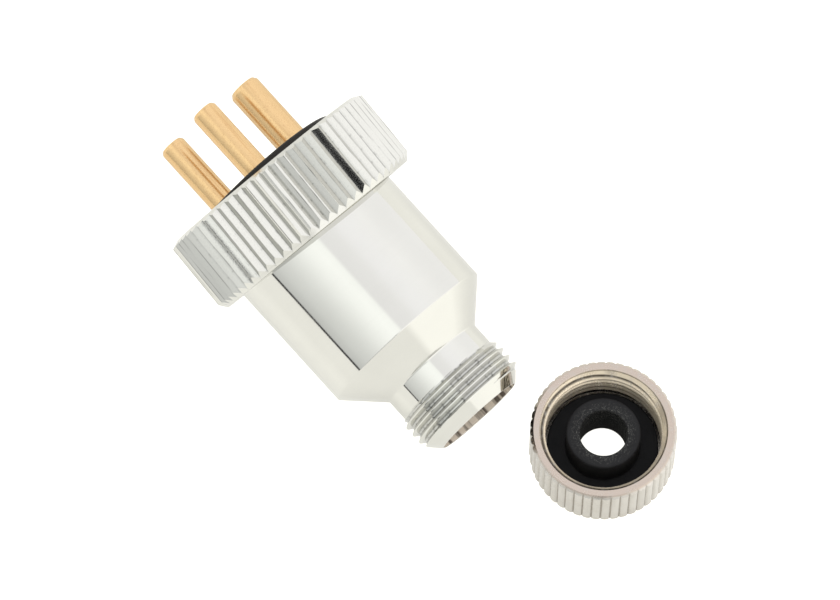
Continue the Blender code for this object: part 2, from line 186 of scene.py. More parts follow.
# Floor. The bands give how much it glows at each Y beside the plug.
FLOOR_R = 3.0
FLOOR_COLOR = (0.50, 0.497, 0.475)
FLOOR_GLOW = (1.0, 0.99, 0.94)
FLOOR_BAND = 0.08
FLOOR_BANDS = ((-0.08, 0.57), (-0.055, 0.51), (-0.035, 0.42), (-0.018, 0.38),
               (0.018, 0.52), (0.028, 0.62), (0.04, 0.66), (0.07, 0.56))
BESIDE_X = (-0.04, 0.0)
BEHIND_GLOW = 0.53
POOL_GLOW = 0.29
POOL_X = (-0.06, 0.0)
POOL_Y = (-0.05, 0.0)
SEEN_GLOW = 0.5

# Sky. Each list gives a shade, or a colour, for how far the direction points to one side.
SKY_STRENGTH = 1.5
SKY_TINT = Vector((0.98, 1.0, 0.985))
SOFTBOX = ((0.0, 0.975), (0.18, 1.0), (0.35, 0.955), (0.51, 0.87), (0.65, 0.78), (0.77, 0.70), (0.87, 0.64),
           (0.95, 0.54))
SOFTBOX_BEHIND = ((0.0, 0.9), (0.25, 0.84), (0.45, 0.73), (0.6, 0.65), (0.77, 0.58), (0.94, 0.52))
CARD = ((0.0, (0.79, 0.79, 0.80)), (0.17, (0.80, 0.80, 0.81)), (0.33, (0.82, 0.82, 0.83)),
        (0.49, (0.87, 0.87, 0.89)), (0.65, (0.89, 0.89, 0.91)), (0.86, (0.90, 0.90, 0.91)),
        (1.0, (0.85, 0.85, 0.86)))
CARD_BEHIND = (0.93, 0.93, 0.93)
GAP_COLOR = (0.045, 0.045, 0.047)
SEAM_COLOR = (0.05, 0.05, 0.05)
BACK_WALL = (1.0, 0.995, 0.97)
BACK_WALL_FAR = (0.56, 0.56, 0.545)
GROUND = (0.84, 0.835, 0.79)
BACKDROP = (0.72, 0.72, 0.70)
LENS_DISC = (radians(2.6), radians(4.6))
LENS_DISC_TURN = radians(-9.4)
LENS_DISC_COLOR = (0.012, 0.012, 0.013)


# Mesh helpers.

def axis_place(joint):
    """A matrix whose Z is the joint's axis and whose -X is the axis's upper side."""
    z = Vector(JOINTS[joint]["axis"]).normalized()
    y = Vector((0, 0, 1)).cross(z)
    if y.length < 0.01:
        y = Vector((0, 1, 0))
    y.normalize()
    x = y.cross(z)
    turn = Matrix((x, y, z)).transposed().to_4x4()
    return Matrix.Translation(JOINTS[joint]["pos_m"]) @ turn


PLUG = axis_place("insert_turn")
RING = axis_place("ring_spin")
NUT = axis_place("gland_nut_spin")


def around(angle, radius, z=0):
    """A point at this angle from the upper side."""
    return Vector((-radius * cos(angle), -radius * sin(angle), z))


def side_place(angle, radius, z):
    """A matrix at that point, whose Z points away from the axis."""
    turn = Matrix.Rotation(angle, 4, "Z") @ Matrix.Rotation(-pi / 2, 4, "Y")
    return Matrix.Translation(around(angle, radius, z)) @ turn


def rounded(outline, steps=5):
    """The points of an outline of (radius, z, rounding) with its corners rounded."""
    points = []
    for i, (r, z, rounding) in enumerate(outline):
        here = Vector((r, z))
        if rounding == 0:
            points.append((r, z))
            continue
        to_last = Vector(outline[i - 1][:2]) - here
        to_next = Vector(outline[(i + 1) % len(outline)][:2]) - here
        half = to_last.angle(to_next) / 2
        reach = min(rounding / tan(half), 0.45 * to_last.length, 0.45 * to_next.length)
        last, following = to_last.normalized(), to_next.normalized()
        centre = here + (last + following).normalized() * reach / cos(half)
        start = here + last * reach - centre
        sweep = -start.angle_signed(here + following * reach - centre)
        for k in range(steps + 1):
            angle = sweep * k / steps
            points.append(tuple(centre + Matrix.Rotation(angle, 2) @ start))
    return points


class Turning:
    """A closed mesh made of strips round Z, each one running on from the last."""

    def __init__(self, columns=COLUMNS):
        self.columns = columns
        self.mesh = bmesh.new()
        # This mark gives how much painted shade a point gets in a recess.
        self.hollow_shade = self.mesh.verts.layers.float.new("hollow_shade")
        self.bare = self.mesh.verts.layers.float.new("bare")
        self.ridge = self.mesh.verts.layers.float.new("ridge")

    def add_vert(self, column, radius, z, hollow_shade=0.0, bare=0.0, ridge=0.0):
        """Adds a point marked with how much painted shade it gets in a recess, and how far it is bare metal
        or a ridge.
        """
        vert = self.mesh.verts.new(around(tau * column / self.columns, radius, z))
        vert[self.hollow_shade] = hollow_shade
        vert[self.bare] = bare
        vert[self.ridge] = ridge
        return vert

    def add_face(self, corners):
        """Adds a face, or nothing where fewer than three corners lie apart."""
        kept = []
        for corner in corners:
            if all((corner.co - other.co).length > WELD for other in kept):
                kept.append(corner)
        if len(kept) > 2:
            self.mesh.faces.new(kept)

    def strip(self, *rows):
        """Joins rows, each a function that gives (radius, z, marks) for a column, or one such point."""
        rings = []
        for row in rows:
            ring = []
            for column in range(self.columns):
                point = row(column) if callable(row) else row
                ring.append(self.add_vert(column, *point))
            rings.append(ring)
        for low, high in zip(rings, rings[1:]):
            for i in range(self.columns):
                j = (i + 1) % self.columns
                self.add_face((low[i], low[j], high[j], high[i]))

    def thread(self, start, bottom, top, profile, upwards):
        """A thread's surface between two heights.

        profile gives the radius and the marks for a phase, from 0 at a crest to 1 at the next, and a height.
        """
        way = 1 if upwards else -1
        turns = ceil((top - bottom) / PITCH) + 2
        rows = turns * THREAD_STEPS
        first = start + ceil((bottom - start) / PITCH - 2) * PITCH
        if not upwards:
            first += turns * PITCH
        grid = []
        for column in range(self.columns):
            climb = PITCH * column / self.columns
            line = []
            for row in range(rows + 1):
                z = first + way * row * PITCH / THREAD_STEPS + climb
                z = min(max(z, bottom), top)
                radius, *marks = profile(((z - start - climb) / PITCH) % 1, z)
                line.append(self.add_vert(column, radius, z, *marks))
            grid.append(line)
        for i in range(self.columns):
            j = (i + 1) % self.columns
            shift = way * THREAD_STEPS if j == 0 else 0
            for row in range(rows):
                if 0 <= row + shift and row + shift < rows:
                    low, high = row + shift, row + shift + 1
                    self.add_face((grid[i][row], grid[j][low], grid[j][high], grid[i][row + 1]))

    def finish(self, name, sharp=30):
        """Welds the strips into a closed object, with edges sharp above this angle in degrees."""
        bmesh.ops.remove_doubles(self.mesh, verts=self.mesh.verts, dist=WELD)
        loose = [vert for vert in self.mesh.verts if not vert.link_faces]
        bmesh.ops.delete(self.mesh, geom=loose, context="VERTS")
        bmesh.ops.recalc_face_normals(self.mesh, faces=self.mesh.faces)
        data = bpy.data.meshes.new(name)
        self.mesh.to_mesh(data)
        self.mesh.free()
        return add_object(name, data, sharp)


def add_object(name, data, sharp=30):
    """Links a mesh as an object that is smooth except at edges above this angle in degrees."""
    data.shade_smooth()
    data.set_sharp_from_angle(angle=radians(sharp))
    obj = bpy.data.objects.new(name, data)
    bpy.context.scene.collection.objects.link(obj)
    return obj


def turned(name, outline, columns=COLUMNS, steps=5):
    """A rounded outline turned round Z, counter-clockwise with the radius to the right."""
    turning = Turning(columns)
    points = [(r, z, 0.0) for r, z in rounded(outline, steps)]
    turning.strip(*points, points[0])
    return turning.finish(name)


def rod(name, radius, bottom, top, edge, columns=SMALL_COLUMNS):
    """A cylinder with rounded edges."""
    return turned(name, [(0, bottom, 0), (radius, bottom, edge), (radius, top, edge), (0, top, 0)], columns)


def tube(name, inner, outer, bottom, top, edge, columns=COLUMNS, steps=5):
    """A tube or washer with rounded edges."""
    outline = [(inner, bottom, edge), (outer, bottom, edge), (outer, top, edge), (inner, top, edge)]
    return turned(name, outline, columns, steps)


def block(name, size):
    """A plain block round the origin."""
    mesh = bmesh.new()
    bmesh.ops.create_cube(mesh, size=1, matrix=Matrix.Diagonal((*size, 1)))
    data = bpy.data.meshes.new(name)
    mesh.to_mesh(data)
    mesh.free()
    return add_object(name, data)


def combine(piece, tool, place=Matrix.Identity(4), operation="DIFFERENCE"):
    """Cuts the tool out of the piece, or joins it on, and removes the tool."""
    tool.data.transform(place)
    modifier = piece.modifiers.new("combine", "BOOLEAN")
    modifier.operation = operation
    modifier.object = tool
    modifier.solver = "EXACT"
    bpy.context.view_layer.update()
    graph = bpy.context.evaluated_depsgraph_get()
    joined = bpy.data.meshes.new_from_object(piece.evaluated_get(graph))
    piece.modifiers.clear()
    piece.data = joined
    joined.set_sharp_from_angle(angle=radians(30))
    bpy.data.objects.remove(tool)


def show(piece, node, body, material, place, soften=0):
    """Puts the piece in its place, gives it its finish and lets it stand for its CAD node."""
    drawn_at = piece.data.attributes.new("drawn_at", "FLOAT_VECTOR", "POINT")
    drawn_at.data.foreach_set("vector", [side for vert in piece.data.vertices for side in vert.co])
    piece.data.transform(place)
    piece.data.materials.clear()
    piece.data.materials.append(material)
    if soften:
        bevel = piece.modifiers.new("soft_edges", "BEVEL")
        bevel.width = soften
        bevel.segments = 2
        bevel.limit_method = "ANGLE"
        bevel.angle_limit = radians(30)
        bevel.use_clamp_overlap = True
    normals = piece.modifiers.new("flat_faces", "WEIGHTED_NORMAL")
    normals.mode = "FACE_AREA"
    normals.weight = 80
    normals.keep_sharp = True
    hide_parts(node)
    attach(piece, body)


# Finishes.

class Nodes:
    """Short ways to add nodes to a tree and to join them."""

    def __init__(self, tree):
        self.tree = tree

    def add(self, kind, **settings):
        node = self.tree.nodes.new(kind)
        for key, value in settings.items():
            setattr(node, key, value)
        return node

    def put(self, socket, value):
        """Links an output to the socket, or sets its value. A colour is given without its alpha."""
        if isinstance(value, bpy.types.NodeSocket):
            self.tree.links.new(value, socket)
        elif socket.type == "RGBA":
            socket.default_value = (*value, 1)
        else:
            socket.default_value = value

    def math(self, operation, a, b=0.0):
        node = self.add("ShaderNodeMath", operation=operation)
        self.put(node.inputs[0], a)
        self.put(node.inputs[1], b)
        return node.outputs[0]

    def mix(self, fac, low, high):
        """The colour low where fac is 0, high where it is 1, and a blend between."""
        node = self.add("ShaderNodeMix", data_type="RGBA")
        self.put(node.inputs[0], fac)
        self.put(node.inputs[6], low)
        self.put(node.inputs[7], high)
        return node.outputs[2]

    def ramp(self, fac, stops):
        """A colour for each fac, from stops of (fac, colour)."""
        node = self.add("ShaderNodeValToRGB")
        self.put(node.inputs[0], fac)
        elements = node.color_ramp.elements
        while len(elements) < len(stops):
            elements.new(0.5)
        for element, (position, color) in zip(elements, stops):
            element.position = position
            element.color = (*color, 1)
        return node.outputs[0]


class Finish(Nodes):
    """A Principled material and the nodes of its grain, in the coordinates that the piece was drawn in."""

    def __init__(self, name, color, roughness, metallic):
        self.material = bpy.data.materials.new(name)
        self.material.use_nodes = True
        super().__init__(self.material.node_tree)
        self.shader = self.tree.nodes["Principled BSDF"]
        self.shader.inputs["Metallic"].default_value = metallic
        self.place = self.add("ShaderNodeAttribute", attribute_name="drawn_at").outputs["Vector"]
        self.color = color
        self.roughness = roughness
        self.height = None

    def noise(self, size, detail=3.0, stretch=(1, 1, 1), place=None):
        """Noise with grains of this size in metres."""
        mapping = self.add("ShaderNodeMapping")
        mapping.inputs["Scale"].default_value = [side / size for side in stretch]
        self.put(mapping.inputs["Vector"], place or self.place)
        node = self.add("ShaderNodeTexNoise")
        node.inputs["Scale"].default_value = 1
        node.inputs["Detail"].default_value = detail
        self.put(node.inputs["Vector"], mapping.outputs[0])
        return node.outputs["Fac"]

    def turned_place(self):
        """Coordinates that are the same all round the axis, so that their noise makes turning marks."""
        split = self.add("ShaderNodeSeparateXYZ")
        self.put(split.inputs[0], self.place)
        x, y, z = split.outputs
        radius = self.math("SQRT", self.math("ADD", self.math("MULTIPLY", x, x), self.math("MULTIPLY", y, y)))
        join = self.add("ShaderNodeCombineXYZ")
        self.put(join.inputs[0], self.math("ADD", radius, self.math("MULTIPLY", x, 0.01)))
        self.put(join.inputs[1], self.math("MULTIPLY", y, 0.01))
        self.put(join.inputs[2], z)
        return join.outputs[0]

    def spread(self, fac, low, high, from_low=0.3, from_high=0.7):
        """Low where fac is from_low, high where it is from_high, and a straight ramp between."""
        node = self.add("ShaderNodeMapRange")
        self.put(node.inputs["Value"], fac)
        node.inputs["From Min"].default_value = from_low
        node.inputs["From Max"].default_value = from_high
        node.inputs["To Min"].default_value = low
        node.inputs["To Max"].default_value = high
        return node.outputs[0]

    def tint(self, fac, color):
        """Blends the colour towards another, all the way where fac is 1."""
        self.color = self.mix(fac, self.color, color)

    def roughen(self, amount):
        """Adds an amount, or a pattern, to the roughness."""
        self.roughness = self.math("ADD", self.roughness, amount)

    def attribute(self, name):
        """How far each point is marked with this name."""
        return self.add("ShaderNodeAttribute", attribute_name=name).outputs["Fac"]

    def bump(self, height, depth):
        """Adds relief of this depth in metres."""
        node = self.add("ShaderNodeBump")
        node.inputs["Strength"].default_value = 1
        node.inputs["Distance"].default_value = depth
        self.put(node.inputs["Height"], height)
        if self.height:
            self.put(node.inputs["Normal"], self.height)
        self.height = node.outputs[0]

    def done(self):
        self.put(self.shader.inputs["Base Color"], self.color)
        self.put(self.shader.inputs["Roughness"], self.roughness)
        if self.height:
            self.put(self.shader.inputs["Normal"], self.height)
        return self.material


def chrome_finish(name, roughness, line_size, line_depth, line_tint, speck_depth):
    """Bright plating over turning marks: painted shade in the recesses, gone where bare, worn on the ridges.
    """
    finish = Finish(name, (0.65, 0.645, 0.61), roughness, 1.0)
    clouds = finish.noise(6 * MM, 2)
    finish.tint(finish.spread(clouds, 0, 0.5), (0.62, 0.615, 0.58))
    specks = finish.noise(0.12 * MM, 2)
    finish.tint(finish.spread(specks, 0, 0.35, 0.68, 0.8), (0.42, 0.40, 0.37))
    # Painted shade: recesses are darkened to a speckled grey, and near black in patches.
    hollow_shade = finish.attribute("hollow_shade")
    finish.tint(finish.math("MULTIPLY", hollow_shade, finish.spread(specks, 0.5, 0.75)), (0.24, 0.245, 0.25))
    painted_shade = finish.spread(finish.noise(0.7 * MM, 3), 0, 1, 0.57, 0.66)
    finish.tint(finish.math("MULTIPLY", hollow_shade, painted_shade), (0.04, 0.04, 0.038))
    bare = finish.attribute("bare")
    streaks = finish.spread(finish.noise(1.6 * MM, 4, stretch=(1, 1, 0.05)), 0, 1, 0.45, 0.56)
    finish.tint(bare, (0.84, 0.74, 0.62))
    finish.tint(finish.math("MULTIPLY", bare, finish.math("MULTIPLY", streaks, 0.93)), (0.07, 0.05, 0.036))
    metallic = finish.math("SUBTRACT", 1, finish.math("MULTIPLY", bare, 0.8))
    finish.put(finish.shader.inputs["Metallic"], metallic)
    finish.roughen(finish.math("MULTIPLY", bare, 0.4))
    ridge = finish.spread(finish.attribute("ridge"), 0, 1, 0.88, 0.97)
    worn = finish.spread(finish.noise(1.5 * MM, 3, stretch=(1, 1, 0.2)), 0, 0.8, 0.42, 0.6)
    finish.tint(finish.math("MULTIPLY", ridge, worn), (0.10, 0.10, 0.095))
    lines = finish.noise(line_size, 1, place=finish.turned_place())
    finish.tint(finish.spread(lines, 0, line_tint, 0.45, 0.7), (0.52, 0.515, 0.49))
    finish.roughen(finish.spread(clouds, 0, 0.03))
    finish.roughen(finish.spread(specks, 0, 0.05, 0.55, 0.8))
    finish.bump(lines, line_depth)
    finish.bump(specks, speck_depth)
    return finish.done()


def nickel_finish():
    """Slightly worn plating: warm on the rim, golden where bare, painted shade in the recesses, dark in
    spots.
    """
    finish = Finish("nickel_plating", (0.60, 0.572, 0.532), 0.17, 1.0)
    clouds = finish.noise(2.5 * MM, 3)
    finish.tint(finish.spread(clouds, 0, 0.5), (0.53, 0.495, 0.44))
    split = finish.add("ShaderNodeSeparateXYZ")
    finish.put(split.inputs[0], finish.place)
    rim = finish.spread(split.outputs[2], 0, 1, NUT_HEIGHT - 0.3 * MM, NUT_HEIGHT - 0.1 * MM)
    finish.tint(rim, (0.50, 0.428, 0.37))
    bare = finish.attribute("bare")
    finish.tint(finish.math("MULTIPLY", bare, 0.9), (0.74, 0.63, 0.47))
    metallic = finish.math("SUBTRACT", 1, finish.math("MULTIPLY", bare, 0.45))
    finish.put(finish.shader.inputs["Metallic"], metallic)
    specks = finish.noise(0.15 * MM, 3)
    finish.tint(finish.spread(specks, 0, 0.6, 0.66, 0.78), (0.30, 0.25, 0.21))
    # Painted shade: recesses are darkened, and near black where they are bare inside the nut.
    hollow_shade = finish.attribute("hollow_shade")
    painted_shade = finish.math("MULTIPLY", hollow_shade, finish.spread(finish.noise(0.5 * MM, 3), 0.5, 0.9))
    finish.tint(painted_shade, (0.13, 0.105, 0.075))
    root_shade = finish.math("MULTIPLY", hollow_shade, bare)
    finish.tint(finish.math("MULTIPLY", root_shade, 0.85), (0.045, 0.035, 0.025))
    wear = finish.noise(0.9 * MM, 3, stretch=(1, 1, 0.12))
    finish.tint(finish.spread(wear, 0, 0.4, 0.5, 0.7), (0.48, 0.45, 0.41))
    lines = finish.noise(0.08 * MM, 1, place=finish.turned_place())
    finish.roughen(finish.spread(clouds, 0, 0.1))
    finish.roughen(finish.spread(specks, 0, 0.12, 0.5, 0.8))
    finish.bump(lines, 0.0012 * MM)
    finish.bump(specks, 0.0012 * MM)
    return finish.done()


def pin_brass_finish():
    """Drawn brass with a fine grain, streaks along the pin and a few brown stains."""
    finish = Finish("pin_brass", (0.70, 0.485, 0.25), 0.17, 1.0)
    streaks = finish.noise(0.4 * MM, 3, stretch=(1, 1, 0.03))
    finish.tint(finish.spread(streaks, 0, 0.45, 0.54, 0.72), (0.50, 0.29, 0.12))
    grain = finish.noise(0.2 * MM, 3)
    finish.tint(finish.spread(grain, 0, 0.5, 0.52, 0.72), (0.50, 0.30, 0.15))
    stains = finish.noise(1.2 * MM, 4, stretch=(1, 1, 0.5))
    finish.tint(finish.spread(stains, 0, 0.25, 0.58, 0.74), (0.46, 0.27, 0.12))
    finish.roughen(finish.spread(grain, 0, 0.1))
    finish.roughen(finish.spread(streaks, 0, 0.06))
    finish.bump(grain, 0.003 * MM)
    finish.bump(streaks, 0.0025 * MM)
    return finish.done()


def sheet_brass_finish():
    finish = Finish("sheet_brass", (0.58, 0.41, 0.20), 0.3, 1.0)
    clouds = finish.noise(1.5 * MM, 4)
    finish.tint(finish.spread(clouds, 0, 0.7), (0.46, 0.31, 0.14))
    grain = finish.noise(0.1 * MM, 2, stretch=(1, 0.1, 1))
    finish.roughen(finish.spread(grain, 0, 0.15))
    finish.bump(grain, 0.003 * MM)
    return finish.done()


def steel_finish():
    """Zinc plating: cool grey with a soft sparkle and faint yellow stains."""
    finish = Finish("zinc_plating", (0.50, 0.51, 0.52), 0.28, 1.0)
    clouds = finish.noise(1.2 * MM, 3)
    finish.tint(finish.spread(clouds, 0, 0.6), (0.45, 0.43, 0.37))
    crystals = finish.noise(0.14 * MM, 1)
    finish.roughen(finish.spread(crystals, 0, 0.2))
    lines = finish.noise(0.1 * MM, 1, place=finish.turned_place())
    finish.bump(lines, 0.002 * MM)
    finish.bump(crystals, 0.002 * MM)
    return finish.done()


def insulator_finish():
    """Moulded black plastic with a fine pebble grain and dust."""
    finish = Finish("black_insulator", (0.015, 0.0125, 0.010), 0.4, 0.0)
    finish.shader.inputs["Specular IOR Level"].default_value = 0.22
    clouds = finish.noise(3 * MM, 3)
    finish.tint(finish.spread(clouds, 0, 0.6), (0.022, 0.020, 0.018))
    dust = finish.noise(0.07 * MM, 2)
    finish.tint(finish.spread(dust, 0, 0.5, 0.68, 0.8), (0.08, 0.075, 0.07))
    finish.roughen(finish.spread(clouds, 0, 0.12))
    finish.bump(finish.noise(0.12 * MM, 2), 0.006 * MM)
    return finish.done()


def rubber_finish():
    """Matt black rubber with a rough skin and pale specks: painted shade in the recesses, crumbly on the
    ridges.
    """
    finish = Finish("black_rubber", (0.009, 0.009, 0.010), 0.65, 0.0)
    finish.shader.inputs["Specular IOR Level"].default_value = 0.2
    clouds = finish.noise(2 * MM, 3)
    finish.tint(finish.spread(clouds, 0, 0.7), (0.014, 0.014, 0.015))
    specks = finish.noise(0.09 * MM, 2)
    finish.tint(finish.spread(specks, 0, 0.5, 0.62, 0.8), (0.05, 0.05, 0.05))
    # Painted shade: recesses are painted nearly black.
    hollow_shade = finish.attribute("hollow_shade")
    finish.tint(hollow_shade, (0.001, 0.001, 0.001))
    finish.roughen(finish.math("MULTIPLY", hollow_shade, 0.35))
    crumbs = finish.spread(finish.noise(0.11 * MM, 2), 0, 1, 0.6, 0.7)
    finish.tint(finish.math("MULTIPLY", finish.attribute("ridge"), crumbs), (0.24, 0.24, 0.22))
    finish.roughen(finish.spread(specks, 0, 0.15))
    finish.bump(specks, 0.012 * MM)
    finish.bump(finish.noise(0.3 * MM, 3), 0.004 * MM)
    return finish.done()


def fibre_finish():
    """Brown pressed fibre with fibres that run round the tube."""
    finish = Finish("pressed_fibre", (0.34, 0.24, 0.14), 0.7, 0.0)
    fibres = finish.noise(0.12 * MM, 3, place=finish.turned_place())
    finish.tint(finish.spread(fibres, 0, 0.8), (0.22, 0.14, 0.07))
    clouds = finish.noise(3 * MM, 3)
    finish.tint(finish.spread(clouds, 0, 0.5), (0.40, 0.31, 0.20))
    finish.roughen(finish.spread(fibres, -0.05, 0.1))
    finish.bump(fibres, 0.01 * MM)
    return finish.done()


CHROME = chrome_finish("bright_chrome", 0.045, 0.09 * MM, 0.00035 * MM, 0.07, 0.0005 * MM)
KNURL_CHROME = chrome_finish("knurled_chrome", 0.06, 0.17 * MM, 0.002 * MM, 0.3, 0.0012 * MM)
NICKEL = nickel_finish()
PIN_BRASS = pin_brass_finish()
SHEET_BRASS = sheet_brass_finish()
STEEL = steel_finish()
INSULATOR = insulator_finish()
RUBBER = rubber_finish()
FIBRE = fibre_finish()


# Plug.

def vee(phase, crest=0.09, root=0.2):
    """How deep a thread is at this phase, from 0 on its crest to 1 at its root."""
    away = min(phase, 1 - phase) * 2
    return min(max((away - crest) / (1 - crest - root), 0), 1)


def neck_thread(phase, z):
    """The neck's outside: the thread between the cone at its open end and its run-out."""
    cone = LIP_R + (THREAD_R - LIP_R) * z / END_CONE_Z
    runout = max(THREAD_R - (z - RUNOUT_Z), NECK_R)
    depth = vee(phase)
    thread = THREAD_R - (THREAD_R - THREAD_ROOT_R) * depth
    radius = min(thread, cone, runout)
    covered = 1 if radius == thread else 0
    # The second value is painted shade towards the thread's roots, where the thread is cut.
    return radius, covered * max(depth - 0.4, 0)


def build_shell():
    shell = Turning()
    shell.thread(THREAD_START, 0, THREAD_TOP_Z, neck_thread, upwards=True)
    groove_low = CLIP_Z - GAP
    groove_high = CLIP_Z + CLIP_THICKNESS + GAP
    groove_r = CLIP_SEAT_R - 0.1 * MM
    outline = rounded([
        (NECK_R, THREAD_TOP_Z, 0),
        (NECK_R, SHOULDER_Z, 0.35 * MM),
        (SHELL_R, SHELL_Z, 0.25 * MM),
        (SHELL_R, groove_low, 0.05 * MM),
        (groove_r, groove_low, 0),
        (groove_r, groove_high, 0),
        (SHELL_R, groove_high, 0.05 * MM),
        (SHELL_R, SHELL_FRONT_Z, 0.15 * MM),
        (SHELL_BORE_R, SHELL_FRONT_Z, 0.1 * MM),
        (SHELL_BORE_R, INNER_CONE[1], 0.5 * MM),
        (BORE_R, INNER_CONE[0], 0.5 * MM),
        (BORE_R, BARE_Z, 0),
        (BORE_R, 0, 0.06 * MM),
        (LIP_R, 0, 0),
    ])
    inside = BORE_R + 0.2 * MM
    shell.strip(*[(r, z, 0.0, 1.0 if r < inside and z >= BARE_Z else 0.0) for r, z in outline])
    show(shell.finish("shell_tube", 25), "shell", "plug_body", CHROME, PLUG)


def ring_tooth(column):
    """Radius and depth of the ring's outside at a column: crest, flank, groove, flank."""
    depth = TOOTH_PROFILE[column % len(TOOTH_PROFILE)]
    return RING_R - TOOTH_DEPTH * depth, depth


def ring_edge(column, edge, end, inwards):
    """Where a column of the teeth meets the slant at one end of the ring."""
    inset, rise = edge
    radius, depth = ring_tooth(column)
    z = end + inwards * rise * (1 - (RING_R - radius) / inset)
    # The bottom of each groove gets painted shade.
    return radius, z, GROOVE_SHADE * (depth == 1), 0.0, 1 - depth


def ring_back(column):
    """The teeth's end on the side of the neck."""
    return ring_edge(column, RING_BACK_EDGE, 0, 1)


def ring_front(column):
    """The teeth's end on the side of the pins."""
    return ring_edge(column, RING_FRONT_EDGE, RING_LENGTH, -1)


def ring_thread(phase, z):
    """The ring's inside: the thread between its lead-in and the relief behind it."""
    top_depth = RING_LENGTH - z
    lead_in = RING_BORE_R + RING_MOUTH - top_depth
    fade = RING_RELIEF_R - (z - RING_LENGTH + RING_THREAD_LENGTH)
    depth = vee(phase)
    thread = RING_BORE_R + (RING_RELIEF_R - RING_BORE_R) * depth
    # The second value is painted shade towards the thread's roots.
    return max(thread, lead_in, fade), 0.3 * depth


def build_coupling_ring():
    ring = Turning(len(TOOTH_PROFILE) * RING_TEETH)
    thread_end = RING_LENGTH - RING_THREAD_LENGTH
    inner = RING_R - RING_BACK_EDGE[0]
    front = RING_R - RING_FRONT_EDGE[0]
    ring.strip((RING_LIP_R + 0.15 * MM, 0, 0.0), (inner, 0, 0.0), ring_back)
    ring.strip(ring_back, ring_front)
    ring.strip(ring_front, (front, RING_LENGTH, 0.0), (RING_BORE_R + RING_MOUTH, RING_LENGTH, 0.0))
    ring.thread(0, thread_end, RING_LENGTH, ring_thread, upwards=False)
    ring.strip(
        (RING_RELIEF_R, thread_end, 0.0),
        (RING_RELIEF_R, RING_LIP + 0.3 * MM, 0.0),
        (RING_RELIEF_R - 0.3 * MM, RING_LIP, 0.0),
        (RING_LIP_R + 0.1 * MM, RING_LIP, 0.0),
        (RING_LIP_R, RING_LIP - 0.1 * MM, 0.0),
        (RING_LIP_R, 0.15 * MM, 0.0),
        (RING_LIP_R + 0.15 * MM, 0, 0.0),
    )
    place = RING @ Matrix.Rotation(RING_PHASE, 4, "Z")
    show(ring.finish("knurled_ring", 25), "coupling_ring", "coupling_ring", KNURL_CHROME, place,
         soften=0.06 * MM)


def build_ring_retainers():
    top = CLIP_Z - GAP
    bottom = top - WASHER_THICKNESS
    edge = 0.08 * MM
    washer = tube("flat_washer", WASHER_HOLE_R, WASHER_R, bottom, top, edge, steps=2)
    show(washer, "slip_washer", "slip_washer", SHEET_BRASS, PLUG)
    low, high = CLIP_Z, CLIP_Z + CLIP_THICKNESS
    inner = CLIP_SEAT_R + GAP - 0.1 * MM
    clip = tube("split_clip", inner, CLIP_R, low, high, edge, steps=2)
    width = 2 * CLIP_R * sin(CLIP_MOUTH / 2)
    combine(clip, block("mouth", (CLIP_R, width, 4 * MM)), Matrix.Translation((CLIP_R, 0, CLIP_Z)))
    show(clip, "retaining_clip", "plug_body", STEEL, PLUG)
    bottom = SHELL_FRONT_Z + GAP
    top = bottom + GASKET_THICKNESS
    gasket = tube("gasket_ring", NOSE_R + GAP, CLIP_R, bottom, top, 0.25 * MM)
    show(gasket, "face_gasket", "plug_body", RUBBER, PLUG)


def cutter(radius, bottom, top):
    """A plain cylinder to cut a hole with."""
    return rod("cutter", radius, bottom, top, 0, HOLE_COLUMNS)


def build_insulators():
    groove_r = SHANK_R - 2 * SEAL_WIRE_R - GAP
    groove = (SEAL_Z - SEAL_WIRE_R - GAP, SEAL_Z + SEAL_WIRE_R + GAP)
    nose_back = SHELL_FRONT_Z + GAP
    front = turned("insert_nose", [
        (0, SHANK_BACK_Z, 0),
        (SHANK_R, SHANK_BACK_Z, 0.2 * MM),
        (SHANK_R, groove[0], 0.1 * MM),
        (groove_r, groove[0], 0.1 * MM),
        (groove_r, groove[1], 0.1 * MM),
        (SHANK_R, groove[1], 0.1 * MM),
        (SHANK_R, nose_back, 0),
        (NOSE_R, nose_back, 0.1 * MM),
        (NOSE_R, NOSE_FRONT_Z, 0.4 * MM),
        (0, NOSE_FRONT_Z, 0),
    ], MIDDLE_COLUMNS)
    rear = rod("terminal_block", BLOCK_R, *BLOCK_Z, 0.4 * MM, MIDDLE_COLUMNS)
    for shaft, barrel, _, angle in CONTACTS.values():
        place = Matrix.Translation(around(angle, PIN_CIRCLE_R))
        recess = cutter(barrel + COLLAR_STEP + GAP, SHANK_BACK_Z - MM, COLLAR_Z[1] + GAP)
        combine(front, recess, place)
        combine(front, cutter(shaft + GAP / 2, COLLAR_Z[1], NOSE_FRONT_Z + MM), place)
        combine(rear, cutter(barrel + GAP, BLOCK_Z[0] - MM, BLOCK_Z[1] + MM), place)
        combine(rear, cutter(CLAMP_R + GAP, 0, BLOCK_R), side_place(angle, PIN_CIRCLE_R, CLAMP_Z))
    head_end = BLOCK_Z[0] + SCREW_HEAD_HEIGHT + 2 * GAP
    for half in (front, rear):
        combine(half, cutter(SCREW_R + GAP, BLOCK_Z[0] - MM, SCREW_END_Z + GAP))
    combine(rear, cutter(SCREW_HEAD_R + GAP, BLOCK_Z[0] - MM, head_end))
    show(front, "front_insulator", "insert", INSULATOR, PLUG)
    show(rear, "rear_insulator", "insert", INSULATOR, PLUG)
    seal_r = SHANK_R - GAP / 2 - SEAL_WIRE_R
    circle = []
    for i in range(SEAL_SIDES):
        angle = tau * i / SEAL_SIDES
        circle.append((seal_r + SEAL_WIRE_R * cos(angle), SEAL_Z + SEAL_WIRE_R * sin(angle), 0))
    show(turned("o_ring", circle), "insert_seal", "insert_seal", RUBBER, PLUG)
    liner = tube("fibre_tube", LINER_R, SHELL_BORE_R - GAP, LINER_BACK_Z, BLOCK_Z[1], 0.1 * MM)
    show(liner, "insulating_liner", "plug_body", FIBRE, PLUG)


